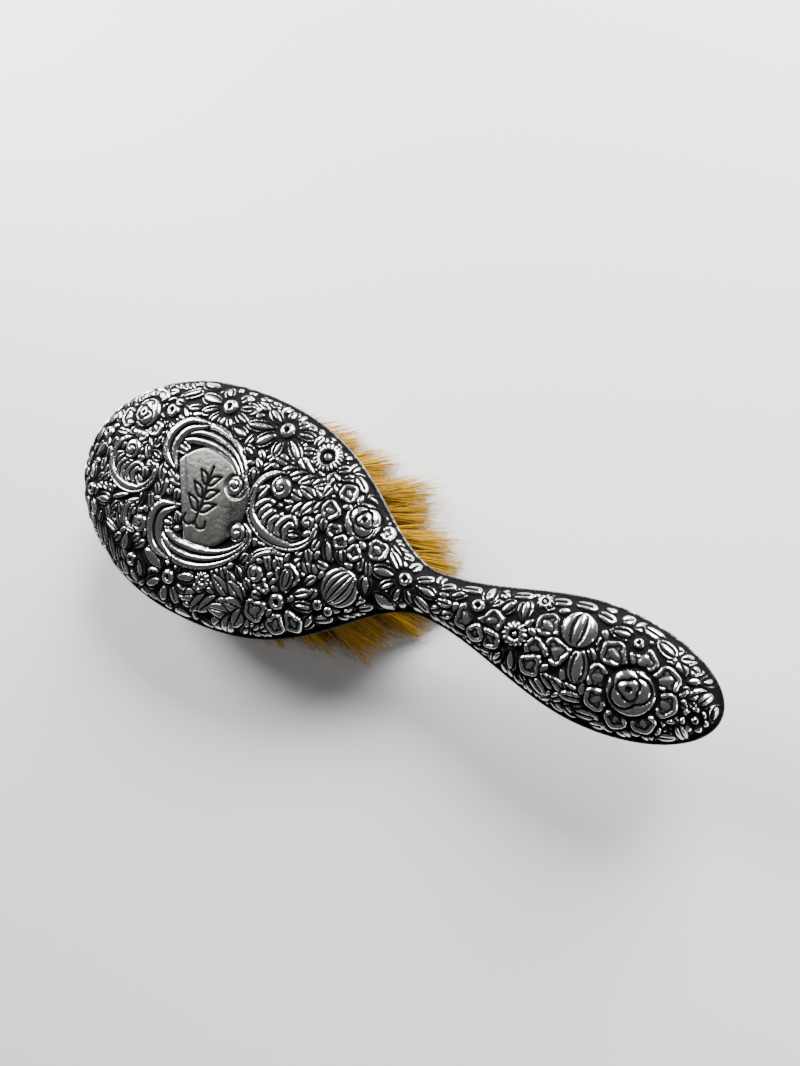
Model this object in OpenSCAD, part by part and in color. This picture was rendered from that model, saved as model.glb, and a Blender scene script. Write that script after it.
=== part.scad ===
// Vanity hairbrush: two stamped silver shells soldered round the edge, closed
// over a wooden bristle board, a cement filling in the head and a wooden core in
// the handle. The bristle knots are held in the board by one draw wire per row.
// The brush lies on its bristles. The origin is on the resting plane, below the
// middle of the length; +X runs to the end of the handle and +Z out of the back.

/* [Outline] */
// Overall length, from the end of the head to the end of the handle
brush_length = 230; // [220:1:240]
// Width of the head at its widest part
head_width = 79.6; // [76:0.2:84]
// Length of the rounded end of the head, from its tip to its widest part
head_end = 60; // [56:1:62]
// Width of the shoulder, where the head turns in towards the neck
shoulder_width = 48.4; // [46:0.2:50]
// Width of the neck at its narrowest part
neck_width = 14; // [13:0.5:16]
// Width of the handle at its widest part
handle_width = 33.4; // [30:0.2:36]
// Length of the rounded end of the handle
handle_end = 33; // [30:1:36]

/* [Shells] */
// Height of the back of the head above the seam, over the ornament
head_crown = 9.6; // [8.5:0.1:11]
// Height of the back of the neck above the seam
neck_crown = 6.6; // [6:0.1:8]
// Height of the back of the handle above the seam
handle_crown = 8; // [7:0.1:9]
// Depth of the rim of the head below the seam
rim_depth = 5; // [4.6:0.1:6]
// Depth of the front of the handle below the seam
handle_depth = 6.6; // [6:0.1:8]
// Width of the rim, from the outline to the opening for the board
rim_width = 5; // [4.8:0.1:6]
// Thickness of the silver
silver = 0.9; // [0.7:0.1:1]
// Height of the soldered lap inside the back shell
lap = 1.5; // [1:0.1:1.6]

/* [Bristles] */
// Free length of the bristles below the face of the board
bristle_reach = 20; // [17:0.5:24]
// Rows of knots across the board
row_count = 13; // [5:2:13]
// Distance between knots and between rows
knot_pitch = 5; // [5:0.1:5.2]
// Radius of a knot in its hole
knot_radius = 1.05; // [0.9:0.05:1.1]
// Radius of a knot at the tips of its bristles
tip_radius = 2.4; // [1.5:0.1:2.4]
// Spread of the field at the tips against the field at the board
flare = 1.13; // [1.1:0.01:1.14]

/* [Board and fixings] */
// How far the face of the board stands below the rim
board_proud = 0.8; // [0.4:0.1:1.5]
// Radius of a draw wire
wire_radius = 0.25; // [0.2:0.05:0.3]
// Brads through the rim into the board
brad_count = 8; // [4:2:12]
// Radius of a brad's shank
brad_radius = 0.35; // [0.3:0.05:0.4]

/* [Hidden] */
$fn = 32;
// Exponent of the shells' section: 2 is an ellipse, more is fuller
fullness = 2.3;
// Steps from the seam to the crown of a section, and from a tip to the widest part
section_steps = 8;
end_step = 10;
// Free space between pieces that only touch
gap = 0.1;

// The shoulder and the neck are this far past the widest part of the head
shoulder_run = 55;
neck_run = 85;
// How fast the outline turns in at the shoulder
shoulder_slope = -0.73;
// Places along the length, as [x, half width, slope]
belly = [head_end - brush_length / 2, head_width / 2, 0];
shoulder = [belly.x + shoulder_run, shoulder_width / 2, shoulder_slope];
neck = [belly.x + neck_run, neck_width / 2, 0];
grip = [brush_length / 2 - handle_end, handle_width / 2, 0];

// The opening for the board starts to round off just past the shoulder, and ends this much further on
opening_end = 14;
round_x = shoulder.x + 2;
open_x = round_x + opening_end;
// The line that the shells' crowns meet on runs between these
spine_start = belly.x - (head_end - head_width / 2);
spine_stop = grip.x + (handle_end - handle_width / 2);

// Heights: the bristle tips are at 0. The back of the board stands a little above the seam.
board_rise = 1.5;
board_face_z = bristle_reach;
seam_z = board_face_z + board_proud + rim_depth;
board_back_z = seam_z + board_rise;
// The flange of the board lies on the rim, and reaches this far past the opening
flange_z = seam_z - rim_depth + silver + 2 * gap;
flange_reach = 1.4;
// The knot is folded this far below the back of the board
fold_depth = 2;
hole_clearance = 0.05;
// The leaning part of a knot starts this far up in the upright part, and this much inside it. It runs
// on below the tips by the same length before it is cut level.
tuft_overlap = 0.6;
throat_inset = 0.25;
draw_hole_radius = 0.5;
wire_clearance = 0.3;
// The field of knots keeps this far inside the opening, and flares from this centre
field_margin = 2.4;
flare_centre = belly.x - 8;
// The lap starts this far below the seam, leans in by this much, and meets the front shell's inner
// wall at this step of its section
lap_thickness = 0.8;
lap_root = 0.7;
lap_lean = 0.4;
lap_step = 2;
// A brad's length, how far it stands out of the rim, and how many points of the opening's outline lie
// between either end of it and the nearest brad
brad_length = 4;
brad_stand = 0.2;
brad_skip = 3;
// The ground of the chased ornament is sunk this far into the shells, and what is inside is clear of it
relief_room = 1.9;
// The filling of the head stops short of here, and the core of the handle starts past it.
// Each stays inside the outline by its inset, the core clear of the lap.
core_x = neck.x - 10;
filling_inset = silver + 1.8;
core_inset = silver + lap_thickness + 1.1;

rows = [for (r = [0 : row_count - 1]) (r - (row_count - 1) / 2) * knot_pitch];
function row_name(kind, r) = str(kind, r < 9 ? "_0" : "_", r + 1);

// A smooth curve between two places, each [x, value, slope]
function hermite(x, a, b) =
    let (span = b.x - a.x, t = (x - a.x) / span)
    a.y * (2 * t ^ 3 - 3 * t ^ 2 + 1) + b.y * (3 * t ^ 2 - 2 * t ^ 3)
    + span * (a.z * (t ^ 3 - 2 * t ^ 2 + t) + b.z * (t ^ 3 - t ^ 2));

// Half width of the middle of the brush, between the two rounded ends
function half_width(x) =
    x < shoulder.x ? hermite(x, belly, shoulder)
    : x < neck.x ? hermite(x, shoulder, neck)
    : hermite(x, neck, grip);

// Height of the crown above the seam
function crown(x) =
    x < belly.x ? head_crown
    : x < neck.x ? hermite(x, [belly.x, head_crown, 0], [neck.x, neck_crown, 0])
    : x < grip.x ? hermite(x, [neck.x, neck_crown, 0], [grip.x, handle_crown, 0])
    : handle_crown;

// Depth of the front shell below the seam
function depth(x) =
    x < open_x ? rim_depth
    : x < grip.x ? hermite(x, [open_x, rim_depth, 0], [grip.x, handle_depth, 0])
    : handle_depth;

// Stations between the rounded ends
middle_x = concat(
    [for (i = [0 : 9]) belly.x + (round_x - belly.x) * i / 9],
    [for (t = [15 : 15 : 90]) round_x + (open_x - round_x) * sin(t)],
    [for (i = [1 : 3]) open_x + (neck.x - open_x) * i / 3],
    [for (i = [1 : 10]) neck.x + (grip.x - neck.x) * i / 10]
);

// One side of the outline, from the tip of the head to the tip of the handle, set in by some amount
function side(inset) = concat(
    [for (t = [0 : end_step : 80]) [belly.x - (head_end - inset) * cos(t), (belly.y - inset) * sin(t)]],
    [for (x = middle_x) [x, half_width(x) - inset]],
    [for (t = [80 : -end_step : 0]) [grip.x + (handle_end - inset) * cos(t), (grip.y - inset) * sin(t)]]
);

// One side of the opening for the board, grown by some amount, from the head's end to the neck
function opening_half_width(x, grow) =
    (half_width(x) - rim_width + grow)
    * sqrt(max(0, 1 - (max(0, x - round_x) / (open_x - round_x + grow)) ^ 2));
function opening_side(grow) = concat(
    [for (t = [0 : end_step : 80])
        [belly.x - (head_end - rim_width + grow) * cos(t), (belly.y - rim_width + grow) * sin(t)]],
    [for (i = [0 : 9]) let (x = middle_x[i]) [x, opening_half_width(x, grow)]],
    [for (t = [15 : 15 : 75]) let (x = round_x + (open_x - round_x + grow) * sin(t))
        [x, opening_half_width(x, grow)]],
    [[open_x + grow, 0]]
);
function opening_outline(grow) =
    let (s = opening_side(grow), n = len(s))
    concat(s, [for (i = [n - 2 : -1 : 1]) [s[i].x, -s[i].y]]);

// Where each station's section ends: on the spine, or at the edge of the opening
spine = [for (p = side(0)) [min(max(p.x, spine_start), spine_stop), 0]];
edge = concat(opening_side(0), [for (i = [len(opening_side(0)) : len(side(0)) - 1]) spine[i]]);

// A quarter of a rounded section, from a point on the outline to a point on the spine. Step j runs
// from 0 at the angle that it starts at, which is 0 on the outline, to section_steps on the spine.
function quarter(from, to, height, j, start = 0) =
    let (a = start + (90 - start) * j / section_steps)
    let (u = cos(a) ^ (2 / fullness), v = sin(a) ^ (2 / fullness))
    [to.x + (from.x - to.x) * u, to.y + (from.y - to.y) * u, seam_z + height * v];

// A solid from one side's grid of points and its mirror image. grid[k][m] is point m of the closed
// section at station k, and point section_steps is on the crown. A face that lies in the mirror plane
// is inside the solid, and is left out. An end that isn't drawn out to a tip is capped.
module mirrored_loft(grid, cap_first = false, cap_last = false) {
    n = len(grid);
    m_count = len(grid[0]);
    function first(k, m) = k > 0 && norm(grid[k][m] - grid[k - 1][m]) < 1e-6 ? first(k - 1, m) : k;
    function at(k, m, far) = (first(k, m) + (far && grid[k][m].y > 1e-6 ? n : 0)) * m_count + m;
    function in_plane(k, m) =
        max(grid[k][m].y, grid[k + 1][m].y, grid[k][(m + 1) % m_count].y,
            grid[k + 1][(m + 1) % m_count].y) < 1e-6;
    near_points = [for (ring = grid) for (p = ring) p];
    quads = [
        for (far = [false, true]) for (k = [0 : n - 2]) for (m = [0 : m_count - 1])
            if (!in_plane(k, m))
                let (q = [at(k, m, far), at(k + 1, m, far),
                    at(k + 1, (m + 1) % m_count, far), at(k, (m + 1) % m_count, far)])
                far ? [q[3], q[2], q[1], q[0]] : q
    ];
    caps = [
        for (far = [false, true]) for (end = [if (cap_first) 0, if (cap_last) n - 1])
            for (m = [0 : m_count - 1])
                let (a = at(end, m, far), b = at(end, (m + 1) % m_count, far))
                let (c = at(end, section_steps, far))
                far == (end == 0) ? [b, a, c] : [a, b, c]
    ];
    polyhedron(
        concat(near_points, [for (p = near_points) [p.x, -p.y, p.z]]),
        [for (t = concat([for (q = quads) for (t = [[q[0], q[1], q[2]], [q[0], q[2], q[3]]]) t], caps))
            if (t[0] != t[1] && t[1] != t[2] && t[0] != t[2]) t],
        convexity = 6
    );
}

// The ornamented silver back of the head and the handle
module back_shell() {
    outer = side(0);
    inner = side(silver);
    color("silver") mirrored_loft([
        for (k = [0 : len(outer) - 1]) let (h = crown(spine[k].x))
            concat(
                [for (j = [0 : section_steps]) quarter(outer[k], spine[k], h, j)],
                [for (j = [section_steps : -1 : 0]) quarter(inner[k], spine[k], h - silver, j)]
            )
    ]);
}

// The silver rim round the board and the front of the handle, with the lap that fits into the back
module front_shell() {
    outer = side(0);
    inner = side(silver);
    seat = side(silver + gap);
    top_outer = side(silver + gap + lap_lean);
    top_inner = side(silver + lap_thickness + lap_lean);
    foot = side(silver + lap_thickness);
    color("silver") difference() {
        mirrored_loft([
            for (k = [0 : len(outer) - 1]) let (d = depth(spine[k].x))
                concat(
                    [[seat[k].x, seat[k].y, seam_z]],
                    [[top_outer[k].x, top_outer[k].y, seam_z + lap]],
                    [[top_inner[k].x, top_inner[k].y, seam_z + lap]],
                    [[foot[k].x, foot[k].y, seam_z - lap_root]],
                    [for (j = [lap_step : section_steps]) quarter(inner[k], edge[k], silver - d, j)],
                    [for (j = [section_steps : -1 : 0]) quarter(outer[k], edge[k], -d, j)]
                )
        ]);
        brads(brad_radius + hole_clearance);
    }
}

// A slice of the board from one height to another, with a round hole for each knot
module board_slice(from, to, grow, hole_radius) {
    translate([0, 0, from]) linear_extrude(to - from) difference() {
        polygon(opening_outline(grow));
        for (y = rows) for (p = knots(y)) translate(p) circle(hole_radius);
    }
}

// The wooden board: a face in the opening, and a flange that the rim holds. The hole of a knot is
// wide up to the fold of its bristles, and narrow above it for the wire.
module bristle_board() {
    fold_z = board_back_z - fold_depth;
    color("burlywood") difference() {
        union() {
            board_slice(board_face_z, flange_z, -gap, knot_radius + hole_clearance);
            board_slice(flange_z, fold_z, flange_reach, knot_radius + hole_clearance);
            board_slice(fold_z, board_back_z, flange_reach, draw_hole_radius);
        }
        brads(brad_radius + hole_clearance);
    }
}

// Knots of a row, as points on the back of the board. Rows are staggered.
function in_field(x, y) =
    let (inset = rim_width + field_margin, along = (x - belly.x) / (head_end - inset))
    abs(y) < (
        x < belly.x ? (belly.y - inset) * sqrt(max(0, 1 - along ^ 2))
        : x < open_x - field_margin ? opening_half_width(x, -field_margin)
        : 0
    );
function knots(y) =
    let (odd = abs(round(y / knot_pitch)) % 2)
    [for (i = [-12 : 16]) let (x = belly.x + (i + odd / 2) * knot_pitch) if (in_field(x, y)) [x, y]];

// Where the axis of a knot meets a height. It is upright in the board, and leans outwards below it.
function knot_point(p, z) =
    let (spread = 1 + (flare - 1) * max(0, board_face_z - z) / bristle_reach)
    [flare_centre + (p.x - flare_centre) * spread, p.y * spread, z];

// A round bar from one point to another
module bar(from, to, r_from, r_to) {
    d = to - from;
    translate(from) rotate([0, acos(d.z / norm(d)), atan2(d.y, d.x)])
        cylinder(norm(d), r_from, r_to);
}

// One row of knots. Each is upright in its hole, and spreads below it to tips cut off level.
module bristle_row(y) {
    root_z = board_back_z - fold_depth - hole_clearance;
    throat_radius = knot_radius - throat_inset;
    spread = (tip_radius - throat_radius) / (bristle_reach + tuft_overlap);
    color("goldenrod") difference() {
        for (p = knots(y)) {
            translate([p.x, p.y, board_face_z])
                cylinder(root_z - board_face_z, knot_radius, knot_radius);
            bar([p.x, p.y, board_face_z + tuft_overlap], knot_point(p, -tuft_overlap), throat_radius,
                tip_radius + spread * tuft_overlap);
        }
        translate([-brush_length, -head_width, -brush_length])
            cube([2 * brush_length, 2 * head_width, brush_length]);
    }
}

// One row's draw wire: along the back of the board, and down into each hole to the fold of the knot
module draw_wire(y) {
    along = knots(y);
    z = board_back_z + wire_radius + hole_clearance;
    end = [2 * wire_radius, 0, 0];
    color("gold") union() {
        bar([along[0].x, y, z] - end, [along[len(along) - 1].x, y, z] + end, wire_radius, wire_radius);
        for (p = along)
            bar([p.x, p.y, z], knot_point(p, board_back_z - fold_depth), wire_radius, wire_radius);
    }
}

// Brads through the rim into the flange of the board
module brads(r) {
    path = opening_side(flange_reach / 2);
    last = len(path) - 1;
    per_side = brad_count / 2;
    for (i = [0 : per_side - 1]) for (sign = [-1, 1])
        let (p = path[brad_skip + round(i * (last - 2 * brad_skip) / (per_side - 1))])
            translate([p.x, sign * p.y, seam_z - rim_depth - brad_stand]) cylinder(brad_length, r, r);
}
module rim_brads() {
    color("silver") brads(brad_radius);
}

// The cement that backs the silver of the head, from above the wires to the crown
module head_filling() {
    floor_z = board_back_z + 2 * wire_radius + wire_clearance;
    outline = side(filling_inset);
    count = len([for (p = side(0)) if (p.x <= core_x) p]);
    color("dimgray") mirrored_loft([
        for (k = [0 : count - 1])
            let (h = crown(spine[k].x) - silver - relief_room)
            let (start = asin(((floor_z - seam_z) / h) ^ (fullness / 2)))
            concat(
                [for (j = [0 : section_steps]) quarter(outline[k], spine[k], h, j, start)],
                [[spine[k].x, 0, floor_z]]
            )
    ], cap_last = true);
}

// The wooden core of the handle
module handle_core() {
    outline = side(core_inset);
    last = len(outline) - 1;
    count = len([for (p = side(0)) if (p.x > core_x) p]);
    color("peru") mirrored_loft([
        for (k = [last + 1 - count : last])
            let (top = crown(spine[k].x) - silver - relief_room)
            let (bottom = silver + relief_room - depth(spine[k].x))
            concat(
                [for (j = [0 : section_steps]) quarter(outline[k], spine[k], top, j)],
                [for (j = [section_steps : -1 : 1]) quarter(outline[k], spine[k], bottom, j)]
            )
    ], cap_first = true);
}

back_shell();
front_shell();
bristle_board();
rim_brads();
head_filling();
handle_core();
for (r = [0 : row_count - 1]) {
    draw_wire(rows[r]);
    bristle_row(rows[r]);
}
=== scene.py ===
import math

import bpy
import numpy as np
from mathutils import Matrix, Vector


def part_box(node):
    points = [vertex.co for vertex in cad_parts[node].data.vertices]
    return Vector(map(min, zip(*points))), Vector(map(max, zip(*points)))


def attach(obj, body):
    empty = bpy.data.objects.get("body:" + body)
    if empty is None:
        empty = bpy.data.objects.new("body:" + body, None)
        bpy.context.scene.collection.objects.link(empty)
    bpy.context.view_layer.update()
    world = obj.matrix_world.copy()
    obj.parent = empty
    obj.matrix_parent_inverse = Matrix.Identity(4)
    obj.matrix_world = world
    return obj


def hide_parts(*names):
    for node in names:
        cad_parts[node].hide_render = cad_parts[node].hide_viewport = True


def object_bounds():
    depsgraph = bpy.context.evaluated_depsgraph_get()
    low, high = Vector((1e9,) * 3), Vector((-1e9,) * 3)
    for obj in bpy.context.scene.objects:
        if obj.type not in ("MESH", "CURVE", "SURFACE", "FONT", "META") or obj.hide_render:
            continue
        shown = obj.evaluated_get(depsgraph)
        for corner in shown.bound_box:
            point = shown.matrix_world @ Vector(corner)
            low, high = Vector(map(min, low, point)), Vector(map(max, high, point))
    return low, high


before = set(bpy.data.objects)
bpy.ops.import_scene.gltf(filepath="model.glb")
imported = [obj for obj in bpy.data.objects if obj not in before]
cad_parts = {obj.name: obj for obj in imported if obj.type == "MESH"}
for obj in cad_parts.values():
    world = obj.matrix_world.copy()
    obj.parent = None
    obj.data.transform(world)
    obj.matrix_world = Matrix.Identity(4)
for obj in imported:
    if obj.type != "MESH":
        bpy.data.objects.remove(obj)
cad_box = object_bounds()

# Sizes are in mm in the row's frame, and become metres when a mesh is made.
MM = 0.001


def node_box(name):
    """The lowest and highest corners of a CAD node, in mm."""
    low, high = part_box(name)
    return np.array(low) / MM, np.array(high) / MM


BACK_LOW, BACK_HIGH = node_box("back_shell")
FRONT_LOW, _ = node_box("front_shell")
BOARD_LOW, _ = node_box("bristle_board")

# The outline, as in the design: a rounded end, a shoulder, a neck and a rounded end
TIP_X, END_X = BACK_LOW[0], BACK_HIGH[0]
BELLY_X, BELLY_HALF = TIP_X + 60.0, BACK_HIGH[1]
SHOULDER_X, SHOULDER_HALF, SHOULDER_SLOPE = BELLY_X + 55.0, 24.2, -0.73
NECK_X, NECK_HALF = BELLY_X + 85.0, 7.0
GRIP_X, GRIP_HALF = END_X - 33.0, 16.7
# The spine, which every section of a shell runs out from
SPINE_START, SPINE_STOP = TIP_X + BELLY_HALF, END_X - GRIP_HALF
# The opening for the board
RIM_WIDTH = 5.0
ROUND_X, OPEN_X = SHOULDER_X + 2.0, SHOULDER_X + 16.0

# Heights, and the fullness of the shells' section
SEAM_Z = BACK_LOW[2]
HEAD_CROWN = BACK_HIGH[2] - SEAM_Z
NECK_CROWN, HANDLE_CROWN = 6.6, 8.0
RIM_DEPTH, HANDLE_DEPTH = 5.0, SEAM_Z - FRONT_LOW[2]
BOARD_FACE_Z = BOARD_LOW[2]
FULLNESS = 2.3

# The ornament's plan: its low corner, its step, its counts of places, the height of its highest motif,
# and how far in from the outline its filling stays
PLAN_X, PLAN_Y = -116, -41
PLAN_STEP = 0.16
PLAN_COLUMNS, PLAN_ROWS = int(-2 * PLAN_X / PLAN_STEP) + 1, int(-2 * PLAN_Y / PLAN_STEP) + 1
HIGHEST_MOTIF = 2.15
FILL_MARGIN = 0.3
# The metal: how deep the ornament goes, and the spacing of the vertices that carry it
RELIEF_DEPTH, FRONT_RELIEF_DEPTH = 1.8, 1.1
SKIN_STEP = 0.38
FRONT_COLUMNS = 40
# Places on the exact surface that the vertices are spaced along: on an end's arc, between, and across
ARC_PLACES, LENGTH_PLACES, ACROSS_PLACES = 400, 2000, 240
# Wear: how dull the plain bands are, and how wide a hollow has to be for a polishing cloth to reach in
WORN_BAND = 0.24
CLOTH_REACH = 1.0

# The bristles: knots as drilled in the board, the field that they fill, and how far it opens at the tips
KNOT_PITCH, KNOT_RADIUS = 5.0, 1.05
ROW_COUNT = 13
FIELD_MARGIN = 2.4
FLARE, FLARE_X = 1.13, BELLY_X - 8.0
# The strands of a knot, with where along each its rings of vertices are and how thick it is there
STRANDS = 84
STRAND_SIDES = 3
STRAND_RINGS = np.array([0.0, 0.3, 0.62, 1.0])
STRAND_RADII = np.array([0.17, 0.17, 0.16, 0.08]) * 1.0
# How far a knot's strands spread at their tips, and how far each strays there and in its middle
TIP_SPREAD, TIP_STRAY, MIDDLE_STRAY = 2.7, 0.75, 0.25
# How far the outer ones splay everywhere, and how much more by the neck, growing between two places
EDGE_SPLAY, NECK_SPLAY = 1.2, 8.5
SPLAY_START, SPLAY_STOP = -36, 8

# The camera, fitted to the photo: its place, what it looks at, its roll in degrees and its lens
EYE, AIM = (125.1, 24.3, SEAM_Z + 232.5), (13.7, 13.3, SEAM_Z)
ROLL, LENS = 74.64, 29.14


# ---------------------------------------------------------------- the shells' surfaces
def hermite(x, a, b):
    """A smooth curve between two places, each (x, value, slope)."""
    span = b[0] - a[0]
    t = (x - a[0]) / span
    blend = a[1] * (2 * t**3 - 3 * t**2 + 1) + b[1] * (3 * t**2 - 2 * t**3)
    return blend + span * (a[2] * (t**3 - 2 * t**2 + t) + b[2] * (t**3 - t**2))


def half_width(x):
    """Half the width of the brush at each x."""
    x = np.asarray(x, float)
    belly, shoulder = (BELLY_X, BELLY_HALF, 0.0), (SHOULDER_X, SHOULDER_HALF, SHOULDER_SLOPE)
    neck, grip = (NECK_X, NECK_HALF, 0.0), (GRIP_X, GRIP_HALF, 0.0)
    head_end = BELLY_HALF * np.sqrt(np.maximum(0, 1 - ((x - BELLY_X) / (BELLY_X - TIP_X)) ** 2))
    handle_end = GRIP_HALF * np.sqrt(np.maximum(0, 1 - ((x - GRIP_X) / (END_X - GRIP_X)) ** 2))
    return np.select(
        [x < BELLY_X, x < SHOULDER_X, x < NECK_X, x < GRIP_X],
        [head_end, hermite(x, belly, shoulder), hermite(x, shoulder, neck), hermite(x, neck, grip)],
        handle_end,
    )


def crown(x):
    """Height of the back's crown over the seam."""
    x = np.asarray(x, float)
    head, neck, grip = (BELLY_X, HEAD_CROWN, 0), (NECK_X, NECK_CROWN, 0), (GRIP_X, HANDLE_CROWN, 0)
    return np.select(
        [x < BELLY_X, x < NECK_X, x < GRIP_X],
        [HEAD_CROWN, hermite(x, head, neck), hermite(x, neck, grip)],
        HANDLE_CROWN,
    )


def depth(x):
    """Depth of the front below the seam."""
    x = np.asarray(x, float)
    middle = hermite(x, (OPEN_X, RIM_DEPTH, 0), (GRIP_X, HANDLE_DEPTH, 0))
    return np.select([x < OPEN_X, x < GRIP_X], [RIM_DEPTH, middle], HANDLE_DEPTH)


def end_share(dx, dy, offset, reach, half):
    """How far out a place is on the ray from the end of the spine to the rounded end's outline."""
    a = (dx / reach) ** 2 + (dy / half) ** 2
    b = 2 * offset * dx / reach**2
    c = (offset / reach) ** 2 - 1
    return 2 * a / np.maximum(-b + np.sqrt(np.maximum(b * b - 4 * a * c, 0)), 1e-9)


def share(x, y):
    """0 on the spine and 1 on the outline."""
    x, y = np.broadcast_arrays(np.asarray(x, float), np.asarray(y, float))
    middle = np.abs(y) / np.maximum(half_width(np.clip(x, SPINE_START, SPINE_STOP)), 1e-6)
    head = end_share(x - SPINE_START, y, SPINE_START - BELLY_X, BELLY_X - TIP_X, BELLY_HALF)
    handle = end_share(x - SPINE_STOP, y, SPINE_STOP - GRIP_X, END_X - GRIP_X, GRIP_HALF)
    return np.select([x < SPINE_START, x > SPINE_STOP], [head, handle], middle)


def dome(x, y, height):
    """Height of a rounded shell over the seam, from its height on the spine."""
    u = np.minimum(share(x, y), 1.0)
    return height(np.clip(x, SPINE_START, SPINE_STOP)) * (1 - u**FULLNESS) ** (1 / FULLNESS)


def outward(x, y, z, height):
    """Unit normals of a rounded shell at places on it. z is over the seam."""
    def level(px, py, pz):
        full = height(np.clip(px, SPINE_START, SPINE_STOP))
        return share(px, py) ** FULLNESS + (pz / full) ** FULLNESS

    near = 0.01
    z = np.maximum(z, near)
    slope = np.stack([
        level(x + near, y, z) - level(x - near, y, z),
        level(x, y + near, z) - level(x, y - near, z),
        level(x, y, z + near) - level(x, y, z - near),
    ], -1)
    return slope / np.linalg.norm(slope, axis=-1, keepdims=True)


# ---------------------------------------------------------------- chased ornament
# How softly the lobes of a ruffled petal run into one another, in mm
ROUNDING = 0.55
# Petals wider than the first are grooved inside their rim, and the rest wider than the second down their
# middle
BROAD_PETAL, GROOVED_PETAL = 3.7, 2.3
# How far up a leaf its pairs of lobes go, and how far they turn from its rib in degrees
LOBES_REACH, LOBES_TURN = 0.74, 36
# The petals that fill bare ground, as (radius of the bare disc that one needs, tries)
FILL_SIZES = ((2.7, 2500), (2.2, 5000), (1.8, 9000), (1.4, 12000), (1.0, 16000))


def smooth(t):
    """A soft step from 0 to 1."""
    t = np.clip(t, 0.0, 1.0)
    return t * t * (3.0 - 2.0 * t)


def rounded(inside, radius):
    """How high a rounded edge stands, from 0 at the edge to 1 at a radius inside it."""
    t = 1.0 - np.clip(inside / radius, 0.0, 1.0)
    return np.sqrt(1.0 - t * t)


def ball(r, radius, top):
    """Height of a ball on a low step, at a distance from its middle."""
    return top * (0.4 + 0.6 * rounded(radius - r, radius))


def groove(distance, width):
    """A round-bottomed groove's depth, from 1 in its middle to 0 beside it."""
    return np.exp(-((distance / width) ** 2))


def polar(x, y, radius, angle):
    """The place at a distance from another, in a direction in degrees."""
    return x + radius * math.cos(math.radians(angle)), y + radius * math.sin(math.radians(angle))


def turned(dx, dy, angle):
    """Distances along and across a direction given in degrees."""
    c, s = math.cos(math.radians(angle)), math.sin(math.radians(angle))
    return dx * c + dy * s, dy * c - dx * s


def arc(x, y, radius, start, sweep, count=9):
    """Points of a circular arc."""
    return [polar(x, y, radius, start + sweep * i / (count - 1)) for i in range(count)]


def curve_through(points, per_span):
    """A smooth open curve through a few points."""
    p = np.array(points, float)
    p = np.vstack([2 * p[0] - p[1], p, 2 * p[-1] - p[-2]])
    t = np.linspace(0, 1, per_span, endpoint=False)[:, None]
    spans = []
    for i in range(1, len(p) - 2):
        a, b, c, d = p[i - 1 : i + 3]
        square, cube = 2 * a - 5 * b + 4 * c - d, 3 * b - a - 3 * c + d
        spans.append(0.5 * (2 * b + (c - a) * t + square * t**2 + cube * t**3))
    return np.vstack([*spans, p[-2][None]])


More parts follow.
